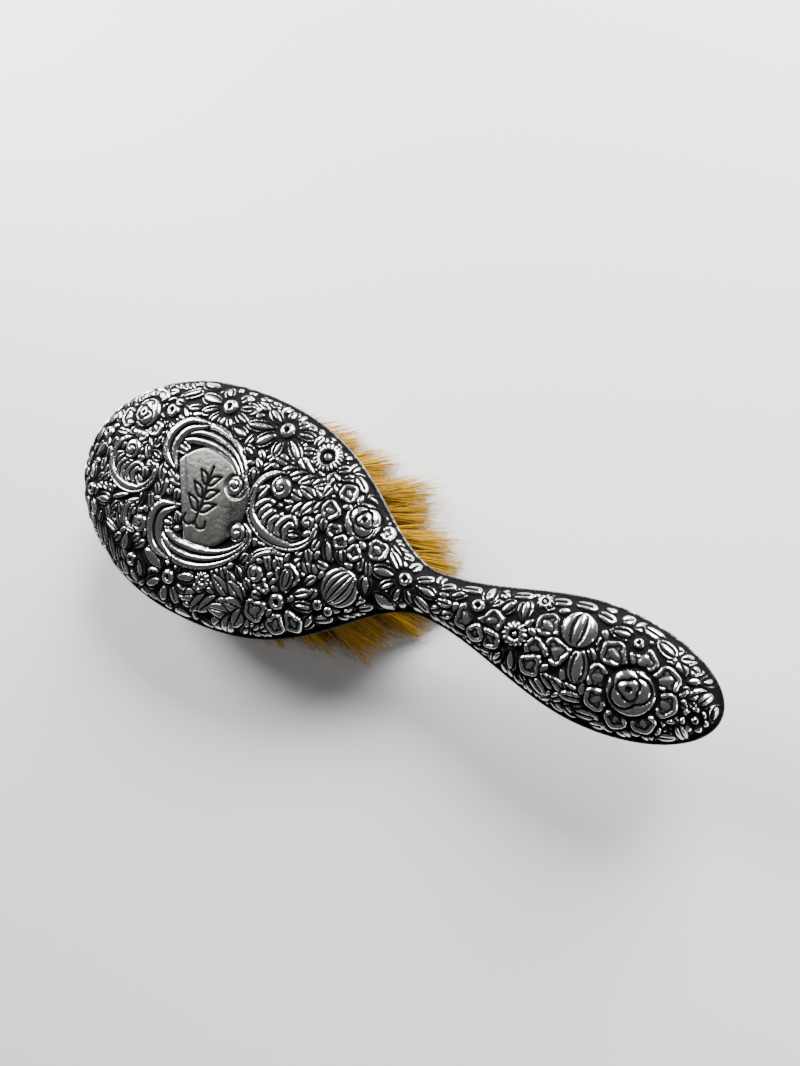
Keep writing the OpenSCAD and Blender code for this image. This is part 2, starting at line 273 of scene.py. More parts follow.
class Relief:
    """A plan of the ornament, into which motifs are pressed one by one.

    height is in mm over the ground and cuts are the depths of engraved lines. The third layer marks the
    smooth plate, which the silver paints darker as a painted dark reflection, and the last layer darkens
    the plate towards its right side and paints a dark reflection on it under its upper scroll.
    """

    def __init__(self):
        self.height, self.cuts, self.satin, self.tone = np.zeros((4, PLAN_ROWS, PLAN_COLUMNS))

    def window(self, x, y, reach):
        """The part of the plan within reach of a place, with each point's distances from it."""
        i0 = max(0, int((x - reach - PLAN_X) / PLAN_STEP))
        i1 = max(i0, min(PLAN_COLUMNS, int((x + reach - PLAN_X) / PLAN_STEP) + 2))
        j0 = max(0, int((y - reach - PLAN_Y) / PLAN_STEP))
        j1 = max(j0, min(PLAN_ROWS, int((y + reach - PLAN_Y) / PLAN_STEP) + 2))
        dx = PLAN_X + np.arange(i0, i1) * PLAN_STEP - x
        dy = PLAN_Y + np.arange(j0, j1) * PLAN_STEP - y
        return (slice(j0, j1), slice(i0, i1)), *np.meshgrid(dx, dy)

    def press(self, area, inside, height, moat=0.85):
        """Raise a shape, and sink a moat round it. inside is the distance in from its outline.

        The shape clears the lines, the plate's mark with its painted dark reflection, and the plate's
        darkening with its painted shade, of what lies under it.
        """
        held = self.height[area]
        held *= 1.0 - smooth(1.3 + 1.3 * inside / moat) * (inside < 0)
        self.cuts[area] *= inside < -moat
        self.satin[area] *= inside < 0
        self.tone[area] *= inside < 0
        np.copyto(held, height, where=inside >= 0)

    def engrave(self, points, width, depth):
        """Cut a line into what is already there."""
        line = curve_through(points, 8)
        for (x0, y0), (x1, y1) in zip(line[:-1], line[1:]):
            length = math.hypot(x1 - x0, y1 - y0)
            area, dx, dy = self.window((x0 + x1) / 2, (y0 + y1) / 2, 2.2 * width + length / 2)
            along, across = turned(dx, dy, math.degrees(math.atan2(y1 - y0, x1 - x0)))
            far = np.hypot(np.maximum(np.abs(along) - length / 2, 0), across)
            np.maximum(self.cuts[area], depth * groove(far, width), out=self.cuts[area])

    # -- single shapes. angle is in degrees, and is where the shape points

    def bead(self, x, y, radius, top, pit=0.0):
        """A small dome, with a pit in its middle if asked."""
        area, dx, dy = self.window(x, y, radius + 1)
        r = np.hypot(dx, dy)
        height = ball(r, radius, top) - pit * smooth(1.5 - 1.7 * r / (0.6 * radius))
        self.press(area, radius - r, height)

    def petal(self, x, y, angle, length, width, top=1.35, taper=1.25, blunt=2.2, moat=0.8, veined=False):
        """A petal about its middle. A broad one is grooved inside its rim, and a narrower or veined one
        down its middle.
        """
        area, dx, dy = self.window(x, y, 0.5 * length + 1.4)
        along, across = turned(dx, dy, angle)
        a = np.clip(along / length + 0.5, 0, 1)
        half = width / 2 * (1 - np.abs(2 * a**taper - 1) ** blunt) ** (1 / blunt)
        inside = half - np.abs(across) - 4 * np.maximum(0, np.abs(along) - length / 2)
        height = top * (0.76 + 0.24 * a) * (0.4 + 0.6 * rounded(inside, 0.5 * width))
        if width > BROAD_PETAL and not veined:
            height -= 1.0 * groove(inside - 1.05, 0.34) * smooth(3.2 * a)
        elif width > GROOVED_PETAL:
            height -= 0.85 * groove(across, 0.32) * smooth(7 * a * (1 - a) - 0.2)
        self.press(area, inside, height, moat)

    def ruffle(self, x, y, angle, length, width, top=1.45):
        """A ruffled petal about its middle: a root and three lobes, with a rolled rim round a hollow."""
        area, dx, dy = self.window(x, y, 0.6 * max(length, width) + 1.2)
        along, across = turned(dx, dy, angle)
        half = 0.33 * width
        parts = [half * (1 - np.hypot(along / (0.5 * length), across / half))]
        for side, out in ((-1, 0.12), (1, 0.12), (0, 0.2)):
            parts.append(0.25 * width - np.hypot(along - out * length, across - 0.27 * side * width))
        inside = ROUNDING * np.log(sum(np.exp(np.maximum(part, -3) / ROUNDING) for part in parts))
        height = top * (0.45 + 0.55 * rounded(inside, 0.8))
        height += 0.5 * smooth((inside - 1.1) / 1.3) - 0.75 * smooth((inside - 0.5) / 0.7)
        self.press(area, inside, height)

    def scroll(self, points, widths, top=1.45, ribs=1, rim=0, moat=0.85):
        """A moulding along a curve. widths are spread evenly along it, and ribs run its whole length.

        rim is 1 or -1 for a fine line cut inside its left or right edge.
        """
        line = curve_through(points, 24)
        middle = (line.min(0) + line.max(0)) / 2
        area, dx, dy = self.window(*middle, np.abs(line - middle).max() + max(widths) + 1)
        steps = np.hypot(*np.diff(line, axis=0).T)
        run = np.concatenate([[0], np.cumsum(steps)]) / steps.sum()
        half = np.interp(run, np.linspace(0, 1, len(widths)), widths) / 2
        tangent = np.gradient(line, axis=0)
        tangent /= np.hypot(*tangent.T)[:, None]
        best = np.full(dx.shape, -1e9)
        side = np.zeros(dx.shape)
        for (px, py), (tx, ty), w in zip(line - middle, tangent, half):
            ex, ey = dx - px, dy - py
            inside = w - np.hypot(ex, ey)
            closer = inside > best
            np.copyto(best, inside, where=closer)
            np.copyto(side, (tx * ey - ty * ex) / w, where=closer)
        side = np.clip(side, -1, 1)
        height = top * (0.45 + 0.55 * rounded(best, 0.75))
        if ribs > 1:
            between = np.abs(np.cos(np.pi * ribs * (side + 1) / 2)) ** 5
            height -= 0.85 * top * between * smooth((best - 0.3) / 0.3)
        if rim:
            height -= 0.9 * groove(best - 1.0, 0.3) * (side * rim > 0)
        self.press(area, best, height, moat)

    def curl(self, x, y, radius, start, hand, turns=1.25, top=1.9):
        """The eye of a volute: a ball with a line that winds into it, anticlockwise if hand is 1."""
        area, dx, dy = self.window(x, y, radius + 1)
        r, theta = np.hypot(dx, dy), np.arctan2(dy, dx) - math.radians(start)
        fold = np.mod(turns * r / radius + hand * theta / (2 * np.pi), 1.0) - 0.5
        line = 0.95 * groove(fold * radius / turns, 0.32) * smooth((r - 0.25) / 0.4)
        self.press(area, radius - r, ball(r, radius, top) - line)

    # -- groups of shapes

    def leaf(self, x, y, angle, length, width, bend, pairs):
        """A leaf that grows from a place: pairs of pointed lobes on a bent rib, and one lobe at its tip."""
        for i in reversed(range(pairs + 1)):
            t = LOBES_REACH * i / pairs
            heading = angle + math.degrees(math.atan2(4 * bend * (1 - 2 * t), length))
            px, py = polar(*polar(x, y, length * t, angle), 4 * bend * t * (1 - t), angle + 90)
            lobe = LOBES_REACH * length / pairs
            if i == pairs:
                middle = polar(px, py, 0.13 * length, heading)
                self.petal(*middle, heading, 0.36 * length, lobe, veined=True)
                continue
            size = width * (0.66 + 0.34 * math.sin(math.pi * (t + 0.15)))
            for side in (-1, 1):
                toward = heading + side * LOBES_TURN
                middle = polar(px, py, 0.5 * size + 0.2, toward)
                self.petal(*middle, toward, size, lobe, taper=0.9, blunt=1.6, moat=0.55, veined=True)

    def core(self, x, y, radius):
        """The raised button of a flower, with its pit, in a sunk ring."""
        self.bead(x, y, radius + 0.9, 0.2)
        self.bead(x, y, radius, 1.9, 1.7)

    def daisy(self, x, y, core, petals):
        """Separate petals round a core. Each is (angle, how far out it reaches, width)."""
        for angle, reach, width in petals:
            length = reach - core - 0.5
            self.petal(*polar(x, y, core + 0.5 + length / 2, angle), angle, length, width)
        self.core(x, y, core)

    def even_daisy(self, x, y, core, reach, count, phase=0.0):
        """A daisy whose petals are all alike."""
        width = 2 * math.pi * (core + 0.6 * (reach - core)) / count * 0.92
        self.daisy(x, y, core, [(phase + 360 * i / count, reach, width) for i in range(count)])

    def rose_ball(self, x, y, radius, turn, top=2.1):
        """The heart of a rose: a ball of petals folded over one another. turn is where it opens."""
        area, dx, dy = self.window(x, y, radius + 1.8)
        r = np.hypot(dx, dy)
        height = ball(r, radius, top)
        eye = polar(x, y, 0.15 * radius, turn)
        folds = []
        for size, phase in ((radius, 0), (0.55 * radius, 50)):
            for angle in (turn + phase, turn + phase + 120, turn + phase + 240):
                folds.append((*polar(*eye, 0.36 * size, angle), 0.56 * size, angle))
        for fold_x, fold_y, bend, angle in folds:
            along, across = turned(dx + x - fold_x, dy + y - fold_y, angle)
            tucked = bend - np.hypot(along, across)
            hidden = (tucked > 0) * smooth(0.4 + 1.8 * along / bend)
            height -= 0.8 * hidden * np.exp(-np.maximum(tucked, 0) / 0.8)
        self.press(area, radius - r, height, 1.8)
        for fold_x, fold_y, bend, angle in folds:
            self.engrave(arc(fold_x, fold_y, bend, angle - 95, 185), 0.24, 0.8)
        self.engrave(arc(*eye, 0.06 * radius, turn, 360), 0.36, 0.9)

    def bud(self, x, y, radius, angle, ribs=6, top=2.1):
        """A closed bud, ribbed from end to end like a melon."""
        area, dx, dy = self.window(x, y, radius + 1.4)
        along, across = turned(dx, dy, angle)
        r = np.hypot(along, across)
        chord = np.sqrt(np.maximum(radius**2 - along**2, 0.05))
        side = np.clip(across / chord, -1, 1)
        between = np.abs(np.cos(np.pi * ribs / 2 * (side + 1))) ** 7
        height = ball(r, radius, top) - 0.95 * between * smooth((radius - r) / 0.7)
        self.press(area, radius - r, height, 1.2)

    def fringe(self, x, y, inner, outer, count, top=1.5):
        """A ring of short radial ticks round a sunk middle with a pearl."""
        area, dx, dy = self.window(x, y, outer + 1)
        r, theta = np.hypot(dx, dy), np.arctan2(dy, dx)
        tick = 0.5 + 0.5 * np.cos(count * theta)
        ragged = outer - 0.5 * tick**2
        height = top * (0.5 + 0.5 * rounded(ragged - r, 0.6))
        height -= 0.85 * tick**3 * smooth((r - inner - 0.5) / 0.5)
        height = np.where(r < inner, 0.0, height)
        self.press(area, ragged - r, height)
        self.bead(x, y, 0.5 * inner, 1.7, 0.4)

    def acanthus(self, points, widths, rim, flames):
        """A scroll whose inner side breaks into flames. Each is (points from its root, width)."""
        for flame, width in flames:
            self.scroll(flame, (width, 1.05 * width, 0.95 * width, 0.45 * width), 1.4, 2, moat=0.5)
        self.scroll(points, widths, 1.5, rim=rim, moat=0.5)

    def fill(self, seed):
        """Fill what is still bare with petals, the largest that fit first, each along the bare strip."""
        rng = np.random.default_rng(seed)
        for radius, tries in FILL_SIZES:
            xs = PLAN_X + rng.random(tries) * PLAN_COLUMNS * PLAN_STEP
            ys = PLAN_Y + rng.random(tries) * PLAN_ROWS * PLAN_STEP
            for x, y in zip(xs, ys):
                if abs(y) >= half_width(x) - FILL_MARGIN:
                    continue
                area, dx, dy = self.window(x, y, 1.7 * radius)
                bare = (self.height[area] < 0.12) & (self.satin[area] == 0)
                r = np.hypot(dx, dy)
                if not bare[r < radius].all():
                    continue
                around = bare & (r < 1.7 * radius)
                bx, by = dx[around], dy[around]
                turn = 0.5 * math.degrees(math.atan2(2 * (bx * by).sum(), (bx**2 - by**2).sum()))
                turn += 180 * rng.integers(2)
                if radius > 1.0:
                    self.petal(x, y, turn, 3.3 * radius, 2.25 * radius, 1.3, 1.3, 1.9, 0.6)
                else:
                    self.petal(x, y, turn, 3.2 * radius, 2.1 * radius, 1.15, moat=0.4)


def back_ornament():
    """The chased back. Places are in mm from the middle of the brush's length."""
    plan = Relief()
    head_leaves(plan)
    head_petals(plan)
    head_flowers(plan)
    head_scrolls(plan)
    cartouche(plan)
    handle_motifs(plan)
    plan.fill(seed=7)
    return plan


def head_leaves(plan):
    """The leaves of the head and the neck, from its end on. Each grows from a place in a direction."""
    for x, y, angle, length, width, bend, pairs in (
        (-83.5, 14, -93, 9.5, 6.4, 0.3, 2), (-77.6, 20.5, -100, 10, 4.8, 0.6, 3),
        (-73.5, 6.6, -52, 11, 8, 0.6, 2), (-101, -8.6, 8, 11, 5.4, 0.6, 3),
        (-86.8, -11.5, -92, 7.6, 6.4, 0, 2), (-30.6, 26.6, -24, 19, 7.4, 0.8, 4),
        (-12.4, 20.8, 176, 20, 7.2, 0.8, 4), (-9, 14.8, 206, 16, 8, -0.8, 3),
        (-26, -24.2, 161, 15.5, 7.6, 0.9, 3), (-26.4, -25.6, 196, 25, 10.8, -1.4, 4),
        (-26, -27.5, 226, 14, 9.4, -0.6, 2), (-12, 24, -76, 9.5, 5.6, 1, 2),
        (-9.6, 22.6, 38, 8.5, 7, 0.6, 2), (-10.6, -1, -82, 9, 5.6, -0.5, 2), (-36, 15.6, 92, 7, 5.4, 0, 2),
        (9, 19, -44, 10, 5.2, 0.5, 2), (12.6, 12.6, -42, 12, 5.2, 0.4, 3),
        (-66, -36.6, 8, 13, 5.4, 0.3, 3), (-20, 34.4, -22, 9, 4.6, 0.2, 2),
        (-99, 22, 38, 10.5, 5.6, 0.6, 2), (-86, 34, 14, 11, 5, 0.2, 3), (-28, -5, 8, 7.5, 2.6, 0.3, 3),
        (5.4, -17, 26, 9, 4.8, 0.3, 2), (-22, -33, 10, 9, 4.8, 0.3, 2),
    ):
        plan.leaf(x, y, angle, length, width, bend, pairs)
    # A fan of narrow blades by the lower scroll
    for x, y, length in (
        (-94.2, -24.6, 8.6), (-90.4, -24.6, 9.6), (-86, -27.6, 10.4), (-81.4, -29.8, 10.4),
    ):
        plan.petal(x, y, -60, length, 2.7, blunt=1.9)


def head_petals(plan):
    """Loose petals of the head and the neck, each about its middle."""
    for x, y, angle, length, width in (
        # Round the end
        (-104.4, 2.6, 62, 6.6, 5.4), (-105, -5.4, -58, 6.6, 4.2), (-99.6, -17.4, -48, 6.4, 3.4),
        (-95.2, -13.4, 12, 8, 5), (-102.2, 15.8, 130, 5.6, 4.4), (-97, 11.4, 6, 6.8, 3.2),
        (-98.8, 6.8, 60, 4, 2.6), (-100.4, -1.6, -80, 5, 2.8), (-109.6, -2, -84, 6, 2.8),
        (-108.8, 6.8, 80, 6, 2.8), (-106.6, -10.8, -70, 5.6, 2.8), (-104.4, -16.8, -56, 6.2, 3),
        (-106, 13.6, 60, 5.8, 2.8), (-99.6, -22, -44, 6.6, 3), (-91.4, -16.4, -60, 5, 2.6),
        (-88.2, -20.6, -18, 9, 2.6),
        # Above the cartouche
        (-85.2, 29.6, 24, 7.8, 3.6), (-82, 27, 40, 4.6, 2.8), (-75, 32, 30, 10.4, 4.2),
        (-73.4, 25.2, -48, 6.6, 4), (-75, 22.4, -24, 5.4, 3), (-81.4, 17.4, 78, 5.8, 4.2),
        (-79.8, 13, 84, 4.2, 2.8), (-70.2, 28, 200, 6, 2.8), (-93, 30.6, 32, 7.6, 3),
        (-62.6, 36.2, 30, 6, 3), (-54, 37, -6, 6, 2.6), (-46.4, 36.2, -12, 6.2, 3),
        (-49, 33.2, 22, 6, 3.4), (-46, 29.8, 160, 5, 2.4), (-44.2, 24.2, 250, 5.6, 2.6),
        (-27.6, 35, -14, 6.4, 2.8),
        # Beside the foot leaves and the left scroll
        (-78.2, -7.6, -104, 7.4, 4.2), (-73.4, -6.6, -66, 6, 2.8), (-72.4, -2.2, -60, 5, 2.4),
        (-79.4, -23.4, -88, 6.6, 5.8), (-86.4, -9.2, 206, 8.6, 1.8), (-72.8, -22.6, 40, 6, 2.8),
        (-73, -33.6, -32, 6.6, 4.4), (-78.4, -32.4, -54, 6, 3.6), (-69, 4.2, -40, 4, 2.4),
        (-100.4, 28, 44, 6, 2.4),
        # Between the flowers by the neck
        (-3.6, 0.8, -62, 8, 4.6), (-4, -4.4, -10, 4.6, 3), (-6.2, -10.2, 52, 5, 3),
        (-4, -14, 74, 4.2, 3.2), (-7.6, -15, 30, 6, 3.2), (-3.2, -23.2, 66, 6.6, 4.4),
        (-6.2, -18.8, 12, 7.6, 4), (1.4, -20.4, 24, 6.6, 3), (-9.6, 25.6, 30, 4.6, 3),
        (-2.4, 23.6, -38, 6.4, 3.2), (3.4, 20.2, -30, 5, 4.2), (7.6, 17.8, -48, 5.4, 3.2),
        (14.6, 5.8, -20, 6.8, 2.8), (17, 8.2, -36, 7, 2.6), (8, 0.8, -76, 5, 2.6),
        (10.8, 0.2, -70, 5.6, 2.4), (10.8, -10.4, 34, 5, 3.2), (13.4, -12, 30, 5.4, 2.4),
        (-22.4, -3.6, 172, 6, 1.8),
    ):
        plan.petal(x, y, angle, length, width)


def head_flowers(plan):
    """The flowers and buds of the head."""
    plan.daisy(-57.6, 32, 2.6, (
        (178, 12.6, 5), (208, 11, 4), (238, 9, 4.2), (270, 8, 4.4), (302, 8.2, 3.8), (338, 10, 3.8),
        (16, 10, 3.8), (50, 7, 3.6), (128, 8, 4.2)))
    plan.daisy(-33.5, 31, 2.5, (
        (190, 15, 4.6), (222, 11.6, 5.2), (268, 9.6, 4), (318, 12, 4.6), (4, 10.4, 3.8), (40, 7.2, 3.4),
        (100, 7.4, 4.2), (152, 10.6, 4.4)))
    plan.daisy(-57.4, -28.4, 2.4, (
        (156, 13.8, 6.4), (186, 9, 3), (214, 11, 5.2), (262, 9, 6), (306, 9.4, 3.6), (346, 9, 3.8),
        (20, 11.6, 5.4), (62, 7, 4.2), (106, 7.4, 5)))
    for x, y, angle, length, width in (
        (-14, -12.6, 90, 9.8, 8.6), (-21.6, -17.8, 158, 8, 4.8), (-21.4, -25.8, 220, 8.6, 7.4),
        (-13.6, -27.4, 268, 8, 6.6), (-8.2, -24.8, 316, 7.8, 6), (-7.4, 12.2, 186, 6.6, 6.6),
        (-4, 18.8, 136, 7, 6), (-3.8, 7.2, 222, 5.6, 4.6), (-0.6, 4.8, 250, 5.6, 4.6),
        (4.6, 3.4, 276, 5.6, 5), (11.2, 6.8, 322, 7.4, 6.6), (11.4, 12.4, 8, 5.4, 4.4),
        (-96.2, 17, 205, 8, 7.4), (-88.8, 13.6, 272, 7, 8.6), (-94.6, 25.4, 136, 6.6, 6.6),
        (-87.6, 27.4, 76, 6, 6.4), (-82.6, 23, 20, 6, 5), (-83, 16.6, 322, 6.4, 5.6),
    ):
        plan.ruffle(x, y, angle, length, width)
    plan.petal(-14, -13, 90, 7.4, 4.4, 1.7)
    plan.core(-15, -20.6, 2.6)
    plan.rose_ball(-89.6, 20.4, 5.4, 200)
    plan.rose_ball(3.4, 12.8, 5.8, 40)
    plan.fringe(-16.3, 27.4, 2.6, 4.8, 20)
    plan.fringe(-43.4, -24.2, 1.1, 2.9, 11)
    for x, y, radius in (
        (1.2, -14.6, 1.6), (4.6, -15.2, 1.7), (8, -13.6, 1.8), (-1.4, -16.4, 1.7), (2.4, -17.2, 1.5),
    ):
        plan.bead(x, y, radius, 1.4, 0.6)
    plan.bud(4, -8.6, 6.2, 62)
    for x, y, radius in (
        (-104, 9.1, 2.2), (-103, -12, 2.2), (-75, -28.6, 2.2), (-79, 24.2, 2.4),
    ):
        plan.core(x, y, radius)
    plan.daisy(23, 1.8, 2.1, (
        (186, 11, 5), (222, 9, 4), (262, 8.6, 4.4), (304, 8.4, 3.8), (346, 10.6, 4.6), (26, 9, 3.8),
        (76, 6.6, 3.4), (140, 9.4, 3.2)))


def head_scrolls(plan):
    """The acanthus scrolls on each side of the cartouche, and the small ones below them."""
    plan.acanthus(
        [(-90, 10.4), (-93.8, 9.6), (-96.6, 6), (-96.8, 1.6), (-94.4, -2.8), (-89.6, -5.4),
         (-83.6, -5.9), (-78.4, -3.8), (-75.6, 0.2), (-76, 4.4), (-78.8, 5.4)],
        (1.2, 1.8, 2, 2.2, 3.2, 3.6, 3.4, 3, 2.4, 1.8, 1.6), -1, (
            ([(-93.6, -0.6), (-94.2, 2.4), (-92.4, 4.4)], 3.6),
            ([(-90, -3.4), (-91, -0.2), (-88.6, 2.6), (-87, 1.6)], 4),
            ([(-84.4, -4.2), (-86, -0.8), (-83.6, 2.4), (-81.8, 1.4)], 4.2)))
    plan.curl(-89, 7, 3.4, 60, 1)
    plan.curl(-78.4, 4.2, 2, 0, 1, 1)
    plan.acanthus(
        [(-24.4, 15.6), (-27.4, 17.2), (-31.6, 16.2), (-34.8, 12.2), (-35.4, 6.8), (-33.4, 1.6),
         (-28.8, -1.8), (-22.4, -3.4), (-15.6, -2.6), (-11.2, 0.8), (-10.4, 5), (-12.4, 7.8)],
        (1.4, 1.8, 2, 2.2, 2.6, 3.4, 3.8, 3.6, 3.2, 2.4, 1.8, 1.4), -1, (
            ([(-32.8, 4), (-33.6, 8), (-31.6, 11.6)], 4.4),
            ([(-30.8, -0.4), (-31.4, 4), (-28.8, 7.4), (-27, 6.4)], 4.4),
            ([(-25.6, -2), (-27.2, 1.8), (-24.8, 5.2), (-22.8, 4.2)], 4.6),
            ([(-19.4, -2.4), (-21.6, 1.2), (-19.4, 4.8), (-17.2, 3.8)], 4.6)))
    plan.curl(-26.6, 13.4, 3.6, -60, 1)
    plan.curl(-13.6, 6, 2.3, 30, 1, 1.1)
    plan.even_daisy(-24.6, 7.8, 0.7, 2.6, 6)
    plan.acanthus(
        [(-78.6, -8), (-82.4, -11), (-82.8, -15.4), (-79.8, -18.6), (-75.6, -18.8)],
        (1, 2.2, 2.6, 2.4, 1.8), -1, (([(-80.6, -16), (-81.2, -12.6), (-79.8, -10.8)], 2),))
    plan.curl(-75, -15.4, 3.2, -40, 1)
    plan.acanthus(
        [(-17.6, -6), (-22.6, -6.6), (-26.8, -9.4), (-28.2, -13.4), (-27, -16.6)],
        (1, 2.2, 2.6, 2.4, 1.8), -1, (
            ([(-23.2, -8), (-22, -10), (-20.6, -12.2)], 2.6),
            ([(-19.6, -6.6), (-18, -8.2), (-16.8, -9.6)], 2.2)))
    plan.curl(-25, -14.8, 2.9, -60, 1)


def cartouche(plan):
    """The smooth plate of the head, with a ribbed scroll above and below it."""
    area, dx, dy = plan.window(-52.5, 1.4, 20)
    in_oval = 15 * (1 - np.hypot(dx / 17, dy / 16.4) ** 2.4)
    slant = turned(dx + 14.2, dy - 6.6, 28)[0]
    inside = np.minimum(in_oval, slant)
    ledge = smooth((3.2 - slant) / 0.9)
    plan.press(area, inside, 1 + 0.15 * rounded(inside, 1.5) + 0.3 * ledge)
    # The plate is painted darker silver in the shader, a painted dark reflection, less so on its ledge.
    plan.satin[area] = np.maximum(plan.satin[area], smooth(inside + 0.4) * (1 - 0.45 * ledge))
    # The plate darkens towards its right side, and a painted dark reflection lies on it under the upper
    # scroll.
    fading = smooth((dx - 5.6 + 0.28 * dy) / 6)
    shaded = smooth((dy - 8.5) / 6)
    plan.tone[area] = np.maximum(0.36 * fading, 0.22 * shaded) * (inside > 0)
    flourish(plan)
    upper = [(-69, 18.4), (-64.5, 20.2), (-57, 20.8), (-49.4, 19), (-43.4, 15), (-40.2, 10),
             (-40.4, 6.8), (-42.6, 5.6)]
    plan.scroll(upper, (7.4, 8.2, 8.2, 7.2, 5.6, 4.2, 3, 2.2), 1.7, 3)
    plan.curl(-43, 8.2, 3, -30, -1, 1.15)
    lower = [(-65.5, -15), (-60, -18), (-52.6, -18.8), (-44.4, -17.2), (-37, -13.4), (-32.2, -8.4),
             (-31.8, -4.8), (-34.2, -2.6)]
    plan.scroll(lower, (6.4, 8.2, 8.6, 7.8, 6, 4.4, 3.2, 2.2), 1.7, 3)
    plan.curl(-36, -5.4, 3, 30, 1, 1.15)
    upper_foot = [(-62.4, 23.6), (-69, 21.6), (-72.6, 16.6), (-72.4, 11), (-67.6, 6.4)]
    lower_foot = [(-58.8, -21.8), (-65.6, -19.2), (-68.6, -13.4), (-67.6, -8), (-61.4, -4.6)]
    foot_leaf(plan, upper_foot, (-68, 13.6, -14))
    foot_leaf(plan, lower_foot, (-63.6, -11.4, 8))


def foot_leaf(plan, spine, lobe):
    """The leaf that a ribbed scroll springs from: a broad bent blade with a lobe on its inner side."""
    plan.petal(*lobe, 5.6, 4.4, 1.6, 0.9, moat=0.4)
    plan.scroll(spine, (2.4, 5.6, 6.8, 6, 1.2), 1.75, 2, moat=0.7)


def flourish(plan):
    """A generic engraved sprig on the plate: a stem with paired leaves and two tendrils."""
    x, y = -53, -8.5
    width, depth = 0.34, 0.4
    plan.engrave([(x, y), (x + 0.5, y + 7), (x, y + 14), (x, y + 20)], width, depth)
    for height, reach in ((4.5, 6), (9, 5.4), (13.5, 4.4)):
        for side in (-1, 1):
            foot, tip = (x, y + height), (x + side * reach, y + height + 4.2)
            for out, rise in ((0.45, 0.6), (0.3, 3.2)):
                plan.engrave([foot, (x + side * out * reach, y + height + rise), tip], width, depth)
    for side in (-1, 1):
        curl = ((0, 1), (2.2, -0.6), (4.4, 0.4), (4.2, 2.4))
        plan.engrave([(x + side * out, y + rise) for out, rise in curl], width, depth)


def handle_motifs(plan):
    """Flowers, leaves and buds of the handle, from the neck to its end."""
    for x, y, angle, length, width, bend, pairs in (
        (33, -4.6, -12, 12, 5.3, 0.3, 3), (44, -7.4, -20, 12, 5.5, 0.4, 3),
        (62, -10.6, -24, 12, 6, 0.5, 3), (82, -9.6, 186, 13, 7.2, 0.6, 3),
        (74, -13.8, 12, 12, 5.5, -0.3, 3), (50, 9.6, 18, 12, 4.3, 0.3, 3),
        (100, 6.6, 40, 9.6, 5.5, 0.3, 2), (103, 1, 8, 9, 5.5, 0.2, 2), (101.6, -4.6, -34, 9.6, 6, -0.3, 2),
        (88.6, -12.6, 4, 10, 5.3, -0.3, 2), (84, 14, -10, 10, 4.6, 0.3, 2),
        (98, 11.4, -18, 9, 4.6, 0.3, 2), (63, 8.4, 64, 7.6, 5, 0.2, 2), (82, -3, 84, 8.4, 4.6, 0.3, 2),
        (99.6, -10.6, -16, 9, 4.8, -0.2, 2),
    ):
        plan.leaf(x, y, angle, length, width, bend, pairs)
    for x, y, angle, length, width in (
        (30.4, 0.8, -8, 7, 4.6), (30, -3.6, -30, 7, 3.2), (28.6, 4.2, 30, 6, 3), (36.6, -0.4, 6, 5, 3),
        (39.6, 3.8, 40, 5.8, 4.2), (42.4, 7, 12, 6.4, 2.8), (35.6, 4.8, 30, 5, 2.6),
        (54.6, 5.8, 60, 6, 4.6), (59.6, 6.8, 100, 6.6, 4.6), (50.8, 5.2, 40, 5, 2.8),
        (65, -9.4, -66, 6.4, 3.8), (60.4, -7.6, -78, 6.8, 4.6), (56.4, -8.4, -122, 6, 3.8),
        (69.2, -11.2, -34, 7, 3.4), (85.6, 11, 6, 6.4, 4.2), (80.4, 13.6, -10, 5.6, 3.2),
        (93, 14.4, -14, 6.4, 3.2), (97.4, 11.8, -24, 6.4, 4.2), (74, 14.6, 4, 6.4, 2.8),
        (67.4, 13, 14, 5.6, 2.8), (79.8, -10.2, 190, 7.4, 3), (84.2, -13.6, 10, 7.6, 2.8),
        (79.6, 8.2, -60, 6.4, 3), (110.6, 3, 60, 5, 2.6), (108, -7.6, -50, 5.6, 3),
        (100.8, -8.6, -36, 6, 3.4), (56.6, 10.8, 16, 6, 2.6),
    ):
        plan.petal(x, y, angle, length, width)
    for x, y, angle, length, width in (
        (44.4, -1.6, -60, 8.7, 7.3), (51.6, 0.4, 20, 8.2, 6.4), (52.8, -4.4, -36, 6.8, 5.5),
        (48.4, -4.6, -96, 5.7, 5.2), (67.6, 5.2, 150, 7.5, 7.1), (72.2, 0, 210, 8.4, 7.5),
        (66.6, -2, 180, 6.8, 6.4), (66.4, -6.4, 240, 7.1, 6.2), (86.4, 4.8, 150, 8.4, 7.1),
        (93.2, 5.8, 80, 8, 7.5), (99.8, 3.6, 30, 8.4, 7.3), (101.6, -2, -10, 6.8, 6.8),
        (84.8, -2.2, 190, 7.3, 7.1), (86, -7.6, 222, 7.3, 6.4), (92, -10.2, 262, 7.3, 5.9),
        (98.2, -8.4, 310, 7.3, 6.4),
    ):
        plan.ruffle(x, y, angle, length, width)
    plan.petal(78.4, -1.6, -80, 9.6, 5.4, 1.7)
    plan.core(46.6, 3, 2)
    plan.fringe(59.4, -0.4, 1.5, 3.6, 14, 1.8)
    plan.fringe(63.4, 11.4, 0.9, 2.3, 9, 1.4)
    plan.bud(75.2, 7.6, 4.9, 92, 3)
    plan.core(90.6, 10.2, 1.4)
    plan.rose_ball(93.2, -2.6, 6.2, 130, 2.15)
    plan.even_daisy(110, -3, 0.9, 3.6, 7)


# ---------------------------------------------------------------- from plan to metal
def blurred(values, reach):
    """A plan blurred over a reach in steps, three box filters deep."""
    n = max(1, int(reach))
    for axis in (0, 1, 0, 1, 0, 1):
        padded = np.pad(values, [(n + 1, n) if a == axis else (0, 0) for a in (0, 1)], mode="edge")
        total = np.cumsum(padded, axis=axis)
        upper = np.take(total, np.arange(2 * n + 1, total.shape[axis]), axis=axis)
        lower = np.take(total, np.arange(0, total.shape[axis] - 2 * n - 1), axis=axis)
        values = (upper - lower) / (2 * n + 1)
    return values


